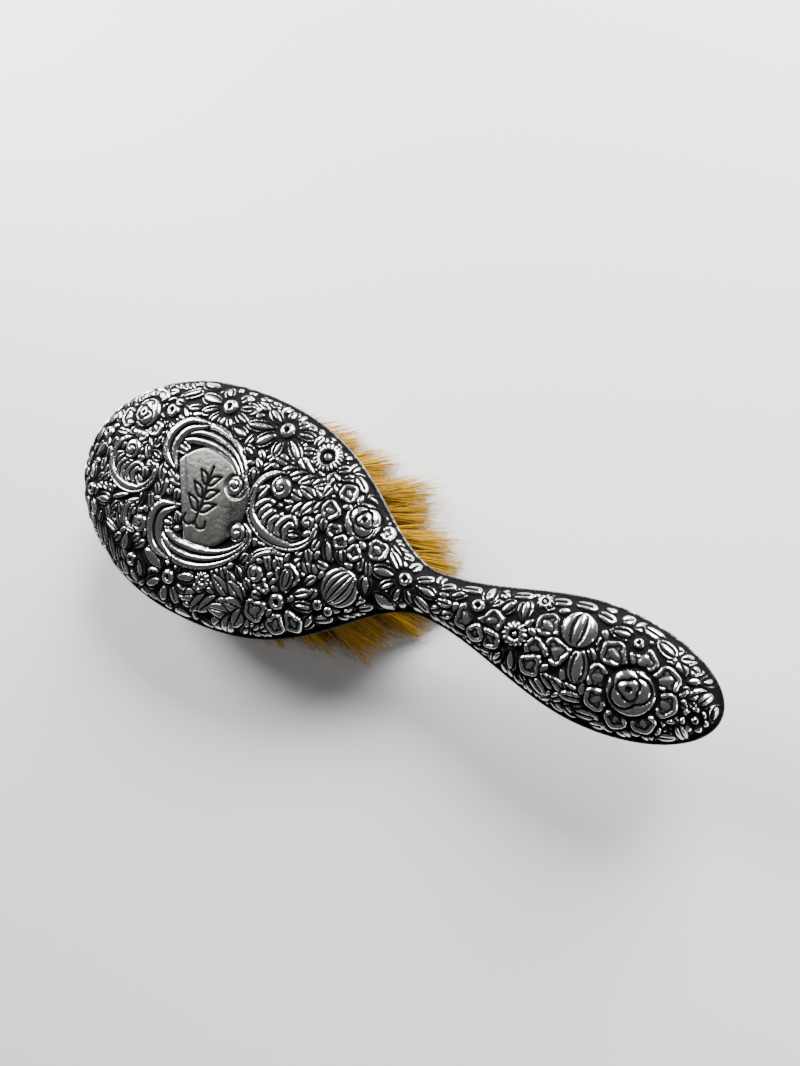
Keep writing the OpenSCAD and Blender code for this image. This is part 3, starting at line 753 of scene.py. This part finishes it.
def highest_near(values, reach):
    """The highest value of a plan within a reach in steps of each place."""
    n = int(reach)
    for axis in (0, 1):
        padded = np.pad(values, [(n, n) if a == axis else (0, 0) for a in (0, 1)], mode="edge")
        values = np.lib.stride_tricks.sliding_window_view(padded, 2 * n + 1, axis).max(-1)
    return values


def sampled(values, x, y):
    """Values of a plan between its places."""
    fx = np.clip((x - PLAN_X) / PLAN_STEP, 0, PLAN_COLUMNS - 1.001)
    fy = np.clip((y - PLAN_Y) / PLAN_STEP, 0, PLAN_ROWS - 1.001)
    i, j = fx.astype(int), fy.astype(int)
    u, v = fx - i, fy - j
    near = values[j, i] * (1 - u) + values[j, i + 1] * u
    far = values[j + 1, i] * (1 - u) + values[j + 1, i + 1] * u
    return near * (1 - v) + far * v


def tarnish_of(plan):
    """How black the metal is at each place of a plan: 0 where a polishing cloth reaches, and up to 1 on
    the low ground, in the creases, in the engraved lines and in hollows that the cloth misses. On the plate
    it also darkens towards the right side, and takes a painted dark reflection under the upper scroll.
    """
    height = plan.height - plan.cuts
    hollow = blurred(height, 0.6 / PLAN_STEP) - height
    low = 1 - smooth((height - 0.5) / 0.5)
    crease = smooth(hollow / 0.28)
    reach = CLOTH_REACH / PLAN_STEP
    cloth = -highest_near(-highest_near(height, reach), reach)
    missed = 0.65 * smooth((cloth - height - 0.2) / 0.6)
    black = np.maximum(low, np.maximum(crease, missed)) * (1 - 0.8 * plan.satin)
    # The plate's darkening, with its painted dark reflection, joins the oxide here.
    return np.clip(np.maximum(black, np.maximum(plan.tone, smooth(plan.cuts / 0.22) * 0.9)), 0, 1)


def zip_rows(first_a, count_a, first_b, count_b):
    """Triangles between two rows of evenly spread vertices that may differ in number."""
    middle_a = (np.arange(count_a - 1) + 0.5) / max(count_a - 1, 1)
    middle_b = (np.arange(count_b - 1) + 0.5) / max(count_b - 1, 1)
    j = np.searchsorted(middle_b, middle_a, side="left")
    i = np.searchsorted(middle_a, middle_b, side="right")
    along_a = np.arange(count_a - 1)
    along_b = np.arange(count_b - 1)
    on_a = np.stack([first_a + along_a, first_b + j, first_a + along_a + 1], -1)
    on_b = np.stack([first_a + i, first_b + along_b, first_b + along_b + 1], -1)
    return np.vstack([on_a, on_b])


def new_piece(name, points, faces, material, slot, **attributes):
    """A mesh piece from points in mm, with named values on its vertices. It rides on the brush."""
    points = np.ascontiguousarray(points, np.float32) * MM
    faces = np.ascontiguousarray(faces, np.int32)
    mesh = bpy.data.meshes.new(name)
    mesh.vertices.add(len(points))
    mesh.vertices.foreach_set("co", points.ravel())
    mesh.loops.add(faces.size)
    mesh.loops.foreach_set("vertex_index", faces.ravel())
    mesh.polygons.add(len(faces))
    mesh.polygons.foreach_set("loop_start", np.arange(len(faces), dtype=np.int32) * faces.shape[1])
    mesh.polygons.foreach_set("use_smooth", np.ones(len(faces), bool))
    for key, values in attributes.items():
        layer = mesh.attributes.new(key, "FLOAT", "POINT")
        layer.data.foreach_set("value", np.ascontiguousarray(values, np.float32))
    mesh.update(calc_edges=True)
    mesh.validate()
    mesh.materials.append(material)
    piece = bpy.data.objects.new(name, mesh)
    bpy.context.scene.collection.objects.link(piece)
    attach(piece, "root")
    return piece


def evenly(points, step):
    """Places along a polyline, about a step apart, as fractions of its index."""
    run = np.concatenate([[0], np.cumsum(np.linalg.norm(np.diff(points, axis=0), axis=1))])
    count = max(2, int(round(run[-1] / step)) + 1)
    return np.interp(np.linspace(0, run[-1], count), run, np.arange(len(points)))


def back_rows():
    """Stations along the back, each a row of places across it, closer together where it turns down."""
    turn = np.linspace(0, np.pi / 2, ARC_PLACES)
    x = np.concatenate([
        BELLY_X - (BELLY_X - TIP_X) * np.cos(turn),
        np.linspace(BELLY_X, GRIP_X, LENGTH_PLACES)[1:-1],
        GRIP_X + (END_X - GRIP_X) * np.sin(turn),
    ])
    profile = np.stack([x, half_width(x), dome(x, 0.0, crown)], -1)
    stations = np.interp(evenly(profile, SKIN_STEP), np.arange(len(x)), x)
    rows = []
    for at in stations:
        y = half_width(at) * np.sin(np.linspace(-np.pi / 2, np.pi / 2, ACROSS_PLACES))
        z = dome(at, y, crown)
        places = np.interp(evenly(np.stack([y, z], -1), SKIN_STEP), np.arange(len(y)), y)
        rows.append(np.stack([np.full(len(places), at), places], -1))
    return rows


def chased(plan, black, x, y, band):
    """The ornament's height and blackening at places, with the plate's painted dark reflection. band is 0
    on plain metal and 1 on the ornament.
    """
    height = (sampled(plan.height - plan.cuts, x, y) / HIGHEST_MOTIF - 1.0) * band
    return height, np.maximum(sampled(black, x, y) * band, WORN_BAND * (1 - band))


def back_shell(material):
    """The chased back. Its plain band runs along the seam, under a dark line."""
    plan = back_ornament()
    rows = back_rows()
    x, y = np.vstack(rows).T
    z = dome(x, y, crown)
    normal = outward(x, y, z, crown)
    band = smooth((z - 0.2) / 0.5)
    ornament, tarnish = chased(plan, tarnish_of(plan), x, y, band)
    sunk = RELIEF_DEPTH * (ornament - 0.35 * (1 - band) * smooth(z / 0.5))
    points = np.stack([x, y, z + SEAM_Z], -1) + normal * sunk[:, None]
    counts = [len(row) for row in rows]
    firsts = np.concatenate([[0], np.cumsum(counts)])
    faces = [zip_rows(firsts[k], counts[k], firsts[k + 1], counts[k + 1]) for k in range(len(rows) - 1)]
    dark_line = 0.9 * smooth((z - 0.15) / 0.25) * (1 - smooth((z - 0.6) / 0.5))
    tarnish = np.maximum(tarnish, dark_line)
    # The plain band, like the plate, is painted darker silver, a painted dark reflection.
    satin = np.maximum(sampled(plan.satin, x, y) * band, 1 - band)
    piece = new_piece("back_silver", points, np.vstack(faces)[:, ::-1], material, "silver",
                      tarnish=tarnish, satin=satin)
    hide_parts("back_shell")


def opening_half_width(x, grow):
    """Half the width of the opening for the board, made larger by some amount."""
    x = np.asarray(x, float)
    end = BELLY_X - TIP_X - RIM_WIDTH + grow
    head = (BELLY_HALF - RIM_WIDTH + grow) * np.sqrt(np.maximum(0, 1 - ((x - BELLY_X) / end) ** 2))
    closing = np.maximum(0, x - ROUND_X) / (OPEN_X - ROUND_X + grow)
    rest = (half_width(x) - RIM_WIDTH + grow) * np.sqrt(np.maximum(0, 1 - closing**2))
    return np.where(x < BELLY_X, head, rest)


def front_edges():
    """Matching places all along one side: on the outline, and on the opening's edge or the spine."""
    turn = np.radians(np.arange(0, 90, 0.5))
    head = np.stack([BELLY_X - (BELLY_X - TIP_X) * np.cos(turn), BELLY_HALF * np.sin(turn)], -1)
    end = BELLY_X - TIP_X - RIM_WIDTH
    head_edge = np.stack([BELLY_X - end * np.cos(turn), (BELLY_HALF - RIM_WIDTH) * np.sin(turn)], -1)
    x = np.concatenate([
        np.linspace(BELLY_X, ROUND_X, 160, endpoint=False),
        ROUND_X + (OPEN_X - ROUND_X) * np.sin(np.linspace(0, np.pi / 2, 60, endpoint=False)),
        np.linspace(OPEN_X, GRIP_X, 200, endpoint=False),
    ])
    middle = np.stack([x, half_width(x)], -1)
    middle_edge = np.stack([x, np.where(x < OPEN_X, opening_half_width(x, 0.0), 0.0)], -1)
    back = turn[::-1]
    tail = np.stack([GRIP_X + (END_X - GRIP_X) * np.cos(back), GRIP_HALF * np.sin(back)], -1)
    tail_edge = np.stack([np.minimum(tail[:, 0], SPINE_STOP), np.zeros(len(tail))], -1)
    return np.vstack([head, middle, tail]), np.vstack([head_edge, middle_edge, tail_edge])


def front_grid():
    """Places over one side of the front, in rows from the outline in: x, y and depth, how much of them
    is ornament, and how much the plain metal may sink, which is not at all on the outline.
    """
    outline, edge = front_edges()
    places = evenly(outline, SKIN_STEP)
    index = np.arange(len(outline))
    outline = np.stack([np.interp(places, index, column) for column in outline.T], -1)
    edge = np.stack([np.interp(places, index, column) for column in edge.T], -1)
    turn = np.linspace(0, np.pi / 2, FRONT_COLUMNS)
    u, v = np.cos(turn) ** (2 / FULLNESS), np.sin(turn) ** (2 / FULLNESS)
    place = edge[:, None] + (outline - edge)[:, None] * u[None, :, None]
    z = depth(np.minimum(edge[:, 0], SPINE_STOP))[:, None] * v[None]
    lip = np.minimum(1.0, np.linalg.norm(outline - edge, axis=1)[:, None] * (1 - u[None]) / 1.2)
    from_edge = np.linalg.norm(place - edge[:, None], axis=-1)
    band = smooth(z - 0.9) * (1 - (edge[:, 0] < OPEN_X)[:, None] * smooth(1 - from_edge / 0.9))
    return place[..., 0], place[..., 1], z, band, lip


def pushed_in(surface, sunk, sign):
    """A grid of places moved along their normals. sign is the side that the grid is on."""
    along, across = np.gradient(surface, axis=0), np.gradient(surface, axis=1)
    normal = np.cross(along, across) * sign
    size = np.linalg.norm(normal, axis=-1, keepdims=True)
    normal = np.where(size > 1e-7, normal / np.maximum(size, 1e-7), (0, 0, -1))
    return surface + normal * sunk[..., None]


def front_shell(material):
    """The chased rim round the board, and the front of the handle. It is plain along every edge."""
    plan = front_ornament()
    black = tarnish_of(plan)
    x, y, z, band, lip = front_grid()
    points, tarnish = [], []
    for sign in (1, -1):
        ornament, dull = chased(plan, black, x, sign * y, band)
        sunk = FRONT_RELIEF_DEPTH * (ornament - 0.25 * (1 - band) * lip)
        points.append(pushed_in(np.stack([x, sign * y, SEAM_Z - z], -1), sunk, sign))
        tarnish.append(dull)
    grid = np.arange(x.size).reshape(x.shape)
    quads = np.stack([grid[:-1, :-1], grid[:-1, 1:], grid[1:, 1:], grid[1:, :-1]], -1).reshape(-1, 4)
    faces = np.vstack([quads, quads[:, ::-1] + x.size])
    # The plain edges are painted darker silver, a painted dark reflection.
    piece = new_piece("front_silver", np.reshape(points, (-1, 3)), faces, material, "silver",
                      tarnish=np.ravel(tarnish), satin=np.tile((1 - band).ravel(), 2))
    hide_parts("front_shell")


def front_ornament():
    """The chased front: flowers down the handle, and small petals between them and round the rim."""
    plan = Relief()
    plan.even_daisy(34.0, 0.0, 1.5, 6.0, 7)
    plan.even_daisy(49.0, 1.0, 2.0, 8.0, 8, 15)
    for angle in (360 * i / 7 for i in range(7)):
        plan.ruffle(*polar(68.0, -0.5, 7.6, angle), angle, 7.0, 6.6)
    plan.rose_ball(68.0, -0.5, 5.2, 100)
    plan.even_daisy(89.0, 1.5, 2.4, 9.8, 9, 10)
    plan.bud(104.0, -1.0, 3.6, 0, 5)
    plan.fill(seed=3)
    return plan


# ---------------------------------------------------------------- bristles
def knots(y):
    """Places of the knots in a row, staggered from row to row."""
    odd = abs(round(y / KNOT_PITCH)) % 2
    x = BELLY_X + (np.arange(-12, 17) + odd / 2) * KNOT_PITCH
    inside = (np.abs(y) < opening_half_width(x, -FIELD_MARGIN)) & (x < OPEN_X - FIELD_MARGIN)
    return np.stack([x[inside], np.full(inside.sum(), y)], -1)


def strands(rng, base):
    """The root, middle and end of each strand. Tips open out, and splay more at the edge of the field."""
    count = len(base)
    tip = (FLARE_X, 0.0) + (base - (FLARE_X, 0.0)) * FLARE
    angle, ring = rng.random(count) * 2 * np.pi, np.sqrt(rng.random(count))
    offset = np.stack([np.cos(angle), np.sin(angle)], -1) * ring[:, None]
    edge = np.maximum(
        np.abs(base[:, 1]) / (opening_half_width(base[:, 0], -FIELD_MARGIN) + 1e-6),
        (base[:, 0] - BELLY_X) / (OPEN_X - BELLY_X),
    )[:, None]
    outer = smooth((edge - 0.5) / 0.4)
    by_neck = smooth((base[:, :1] - SPLAY_START) / (SPLAY_STOP - SPLAY_START))
    out = (base - (BELLY_X + 12.0, 0.0)) * (0.35, 1.0)
    out /= np.linalg.norm(out, axis=1, keepdims=True) + 1e-9
    splay = out * outer * (EDGE_SPLAY + NECK_SPLAY * rng.random((count, 1)) ** 0.6 * by_neck)
    stray = rng.normal(0, TIP_STRAY, (count, 2)) * (1 + 1.8 * outer)
    root = np.hstack([base + offset * KNOT_RADIUS, np.full((count, 1), BOARD_FACE_Z + 0.6)])
    # Most end close over the resting plane, and a few stop short of it
    end_z = 0.15 + 1.5 * rng.random((count, 1)) ** 2.2
    end = np.hstack([tip + offset * TIP_SPREAD + stray + splay, end_z])
    middle = 0.5 * (root + end)
    middle[:, :2] -= 0.10 * (end - root)[:, :2]
    middle[:, :2] += rng.normal(0, MIDDLE_STRAY, (count, 2))
    return root, middle, end


def tubes(root, middle, end):
    """Points and triangles of thin bent tubes, each with its own rings of vertices and a cap on its end."""
    bend = STRAND_RINGS[:, None, None]
    path = (1 - bend) ** 2 * root + 2 * bend * (1 - bend) * middle + bend**2 * end
    side = np.cross(end - root, [0.3, 1.0, 0.1])
    side /= np.linalg.norm(side, axis=1, keepdims=True)
    up = np.cross(end - root, side)
    up /= np.linalg.norm(up, axis=1, keepdims=True)
    corners = 2 * np.pi * np.arange(STRAND_SIDES) / STRAND_SIDES
    ring = np.cos(corners)[:, None, None] * side + np.sin(corners)[:, None, None] * up
    points = path[:, None] + STRAND_RADII[:, None, None, None] * ring[None]
    points = points.transpose(2, 0, 1, 3).reshape(-1, 3)

    per_strand = STRAND_SIDES * len(STRAND_RINGS)
    firsts = np.arange(len(root)) * per_strand
    level = (np.arange(len(STRAND_RINGS) - 1) * STRAND_SIDES)[None, :, None]
    corner = np.arange(STRAND_SIDES)[None, None, :]
    following = (corner + 1) % STRAND_SIDES
    low = firsts[:, None, None] + level
    high = low + STRAND_SIDES
    sides = np.broadcast_arrays(low + corner, low + following, high + following, high + corner)
    quads = np.stack(sides, -1).reshape(-1, 4)
    caps = firsts[:, None] + np.arange(per_strand - STRAND_SIDES, per_strand)
    return points, np.vstack([quads[:, :3], quads[:, [0, 2, 3]], caps])


def bristle_row(number, y, material):
    """One row's strands, with how far along it each vertex is and a shade for each strand."""
    rng = np.random.default_rng(100 + number)
    root, middle, end = strands(rng, np.repeat(knots(y), STRANDS, axis=0))
    points, triangles = tubes(root, middle, end)
    length = np.tile(np.repeat(STRAND_RINGS, STRAND_SIDES), len(root))
    shade = np.repeat(rng.random(len(root)), STRAND_SIDES * len(STRAND_RINGS))
    piece = new_piece(f"bristles_{number:02d}", points, triangles, material, "bristle",
                      length=length, shade=shade)
    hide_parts(f"bristle_row_{number:02d}")


# ---------------------------------------------------------------- materials
class Nodes:
    """A short way to build a material's nodes."""

    def __init__(self, name):
        self.material = bpy.data.materials.new(name)
        self.material.use_nodes = True
        self.tree = self.material.node_tree
        self.shader = self.tree.nodes["Principled BSDF"]

    def add(self, kind, **settings):
        node = self.tree.nodes.new(kind)
        for key, value in settings.items():
            setattr(node, key, value)
        return node

    def feed(self, socket, value):
        """Give a socket another node's output, or a constant."""
        if isinstance(value, bpy.types.NodeSocket):
            self.tree.links.new(value, socket)
        else:
            socket.default_value = value

    def shade(self, **values):
        """Feed the shader, by the names of its inputs."""
        for key, value in values.items():
            self.feed(self.shader.inputs[key.replace("_", " ")], value)

    def place(self):
        """Object coordinates, which are metres in the row's frame."""
        return self.add("ShaderNodeTexCoord").outputs["Object"]

    def attribute(self, name):
        return self.add("ShaderNodeAttribute", attribute_name=name).outputs["Fac"]

    def noise(self, scale, detail=3.0, stretch=(1, 1, 1), roughness=0.55):
        """Noise whose scale is in waves per mm, stretched along the axes."""
        mapping = self.add("ShaderNodeMapping")
        self.feed(mapping.inputs["Scale"], [1 / MM / s for s in stretch])
        self.feed(mapping.inputs["Vector"], self.place())
        node = self.add("ShaderNodeTexNoise")
        self.feed(node.inputs["Scale"], scale)
        self.feed(node.inputs["Detail"], detail)
        self.feed(node.inputs["Roughness"], roughness)
        self.feed(node.inputs["Vector"], mapping.outputs["Vector"])
        return node.outputs["Fac"]

    def spread(self, source, low, high, to_low=0.0, to_high=1.0):
        """A value mapped from one range to another, and held inside it."""
        node = self.add("ShaderNodeMapRange", clamp=True)
        for key, value in zip(("From Min", "From Max", "To Min", "To Max"), (low, high, to_low, to_high)):
            self.feed(node.inputs[key], value)
        self.feed(node.inputs["Value"], source)
        return node.outputs["Result"]

    def math(self, operation, a, b):
        node = self.add("ShaderNodeMath", operation=operation)
        self.feed(node.inputs[0], a)
        self.feed(node.inputs[1], b)
        return node.outputs["Value"]

    def mix(self, factor, a, b):
        """A mix of two colours, each a tuple or another node's colour."""
        node = self.add("ShaderNodeMix", data_type="RGBA")
        self.feed(node.inputs["Factor"], factor)
        for key, value in (("A", a), ("B", b)):
            self.feed(node.inputs[key], (*value, 1.0) if isinstance(value, tuple) else value)
        return node.outputs["Result"]

    def bump(self, height, distance, below=None):
        """A bump whose full height is a distance in mm."""
        node = self.add("ShaderNodeBump")
        self.feed(node.inputs["Strength"], 1.0)
        self.feed(node.inputs["Distance"], distance * MM)
        self.feed(node.inputs["Height"], height)
        if below:
            self.feed(node.inputs["Normal"], below)
        return node.outputs["Normal"]


def silver_material():
    """Sterling silver: polished where a cloth reaches, black oxide in the ground and the creases. The
    smooth plate and the plain bands are painted darker silver, a painted dark reflection.
    """
    m = Nodes("sterling_silver")
    patches = m.noise(0.35, 3)
    grain = m.noise(2.6, 2)
    # This attribute is mostly oxide, and on the plate also a painted dark reflection.
    tarnish = m.attribute("tarnish")
    ragged = m.math("ADD", tarnish, m.spread(grain, 0.3, 0.7, -0.16, 0.16))
    # Half-tarnished metal darkens but stays metallic. Only the blackest is matt oxide.
    black = m.spread(ragged, 0.16, 0.52)
    matt = m.spread(ragged, 0.45, 0.65)
    satin = m.attribute("satin")
    toned = m.mix(m.spread(patches, 0.35, 0.7), (0.85, 0.845, 0.83), (0.58, 0.57, 0.545))
    # Painted dark reflection: the smooth plate and the plain bands take this darker silver.
    plate = m.mix(m.spread(m.noise(0.5, 4), 0.35, 0.75), (0.25, 0.243, 0.228), (0.42, 0.41, 0.385))
    clean = m.mix(satin, toned, plate)
    m.shade(Base_Color=m.mix(black, clean, (0.004, 0.0035, 0.004)))
    m.shade(Metallic=m.spread(matt, 0.0, 1.0, 1.0, 0.0))
    m.shade(Specular_IOR_Level=0.05)
    polish = m.spread(m.math("ADD", patches, m.math("MULTIPLY", satin, 0.8)), 0.3, 1.3, 0.16, 0.32)
    m.shade(Roughness=m.math("MAXIMUM", polish, m.spread(matt, 0.0, 1.0, 0.0, 0.60)))
    scratches = m.noise(1.1, 2, (14, 0.35, 1))
    dents = m.noise(0.7, 2)
    fine = m.bump(scratches, 0.010)
    m.shade(Normal=m.bump(dents, 0.11, fine))
    return m.material


def bristle_material():
    """Boar bristle: brown by the board, golden along its length and pale at the tips."""
    m = Nodes("boar_bristle")
    length, own = m.attribute("length"), m.attribute("shade")
    golden = m.mix(m.spread(own, 0, 1), (0.27, 0.128, 0.002), (0.49, 0.27, 0.005))
    rooted = m.mix(m.spread(length, 0.05, 0.6), (0.12, 0.052, 0.004), golden)
    tipped = m.mix(m.spread(length, 0.80, 1.0, 0.0, 0.3), rooted, (0.70, 0.48, 0.08))
    m.shade(Base_Color=tipped)
    m.shade(Roughness=m.spread(own, 0, 1, 0.34, 0.5))
    m.shade(Normal=m.bump(m.noise(6.0, 2), 0.01))
    m.shade(Specular_IOR_Level=0.15)
    return m.material


def wood_material(name, light, dark, gloss):
    """A close-grained wood whose grain runs along the brush."""
    m = Nodes(name)
    figure = m.noise(0.09, 4, (9, 1, 1), 0.65)
    pores = m.noise(1.5, 2, (12, 1, 1))
    colour = m.mix(m.spread(figure, 0.35, 0.68), light, dark)
    m.shade(Base_Color=m.mix(m.spread(pores, 0.58, 0.75, 0, 0.5), colour, dark))
    m.shade(Roughness=m.spread(figure, 0.3, 0.7, gloss, gloss + 0.15))
    m.shade(Normal=m.bump(pores, 0.03))
    return m.material


def grained_material(name, grain, span, colours, roughness, bump, metallic=0.0):
    """Colours, roughness and bump that follow one grain. grain is what noise takes, span is the part of
    it between the two colours, and bump is in mm.
    """
    m = Nodes(name)
    pattern = m.noise(*grain)
    m.shade(Base_Color=m.mix(m.spread(pattern, *span), *colours))
    m.shade(Roughness=m.spread(pattern, 0.3, 0.7, *roughness))
    m.shade(Normal=m.bump(pattern, bump))
    m.shade(Metallic=metallic)
    return m.material


def inner_materials():
    """The materials of the CAD nodes, by node. Most are out of sight on a whole brush."""
    brass = grained_material(
        "drawn_brass_wire", grain=(2.0, 2, (8, 1, 1)), span=(0.3, 0.7),
        colours=((0.62, 0.42, 0.16), (0.42, 0.27, 0.10)), roughness=(0.28, 0.5), bump=0.01, metallic=1.0)
    found = {f"draw_wire_{number:02d}": brass for number in range(1, ROW_COUNT + 1)}
    found["bristle_board"] = wood_material("board_wood", (0.56, 0.34, 0.16), (0.34, 0.17, 0.07), 0.3)
    found["handle_core"] = wood_material("core_wood", (0.62, 0.44, 0.26), (0.44, 0.28, 0.15), 0.6)
    found["head_filling"] = grained_material(
        "setting_cement", grain=(1.8, 5), span=(0.3, 0.7),
        colours=((0.045, 0.038, 0.032), (0.11, 0.095, 0.08)), roughness=(0.75, 0.92), bump=0.12)
    found["rim_brads"] = grained_material(
        "plain_silver", grain=(0.7, 3), span=(0.35, 0.7),
        colours=((0.86, 0.85, 0.83), (0.48, 0.46, 0.43)), roughness=(0.2, 0.4), bump=0.02, metallic=1.0)
    return found


def dress(node, material):
    """Give a CAD node its material."""
    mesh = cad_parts[node].data
    mesh.materials.clear()
    mesh.materials.append(material)


# ---------------------------------------------------------------- the stage
def table_top():
    """A pale, softly glossy table under the brush, wide enough to fill the picture from any side."""
    mesh = bpy.data.meshes.new("table_top")
    half, z = 3.0, float(cad_box[0][2])
    corners = [(-half, -half, z), (half, -half, z), (half, half, z), (-half, half, z)]
    mesh.from_pydata(corners, [], [(0, 1, 2, 3)])
    m = Nodes("white_table")
    m.shade(Base_Color=(0.94, 0.94, 0.945, 1), Roughness=0.5)
    mesh.materials.append(m.material)
    table = bpy.data.objects.new("table_top", mesh)
    bpy.context.scene.collection.objects.link(table)


def camera():
    """Seen from over the handle, with the picture turned so that the brush lies across it.

    Gives the picture's right, its up, the way back to the eye, and what the camera looks at.
    """
    data = bpy.data.cameras.new("camera")
    data.lens = LENS
    data.sensor_width = 36.0
    data.clip_start = 0.01
    eye, aim = Vector(EYE) * MM, Vector(AIM) * MM
    roll = math.radians(ROLL)
    ahead = (aim - eye).normalized()
    right = ahead.cross(Vector((0, 0, 1))).normalized()
    up = right.cross(ahead)
    across = right * math.cos(roll) - up * math.sin(roll)
    above = right * math.sin(roll) + up * math.cos(roll)
    turned_to = Matrix((across, above, -ahead)).transposed().to_4x4()
    view = bpy.data.objects.new("camera", data)
    view.matrix_world = Matrix.Translation(eye) @ turned_to
    bpy.context.scene.collection.objects.link(view)
    bpy.context.scene.camera = view
    return across, above, -ahead, aim


def softbox(name, toward, distance, size, power, aim):
    """A rectangular soft light that stands off from the brush in some direction. Sizes are in metres."""
    data = bpy.data.lights.new(name, "AREA")
    data.shape = "RECTANGLE"
    data.size, data.size_y = size
    data.energy = power
    lamp = bpy.data.objects.new(name, data)
    toward = toward.normalized()
    facing = toward.to_track_quat("Z", "Y").to_matrix().to_4x4()
    lamp.matrix_world = Matrix.Translation(aim + toward * distance) @ facing
    bpy.context.scene.collection.objects.link(lamp)


def surroundings():
    """A plain dim room, so that the silver has something dark to reflect between the lights."""
    world = bpy.data.worlds.new("room")
    world.use_nodes = True
    bpy.context.scene.world = world
    background = world.node_tree.nodes["Background"]
    background.inputs["Color"].default_value = (0.60, 0.61, 0.63, 1)
    background.inputs["Strength"].default_value = 0.15


def lamps(right, up, back, aim):
    """Soft lights placed by the picture's own directions, so that their reflections stay in its frame."""
    for name, toward, distance, size, power in (
        ("window", up + right * 0.30 + back * 0.55, 0.8, (0.45, 0.45), 27.0),
        ("left_wall", -right + up * 0.85 + back * 0.05, 0.9, (0.35, 0.55), 15.0),
        ("side", right - up * 0.35 + back * 0.45, 0.8, (0.20, 0.5), 6.0),
    ):
        softbox(name, toward, distance, size, power, aim)


def main():
    view = camera()
    surroundings()
    table_top()
    lamps(*view)

    silver = silver_material()
    back_shell(silver)
    front_shell(silver)
    bristle = bristle_material()
    for number in range(1, ROW_COUNT + 1):
        bristle_row(number, (number - (ROW_COUNT + 1) / 2) * KNOT_PITCH, bristle)
    for node, material in inner_materials().items():
        dress(node, material)


main()
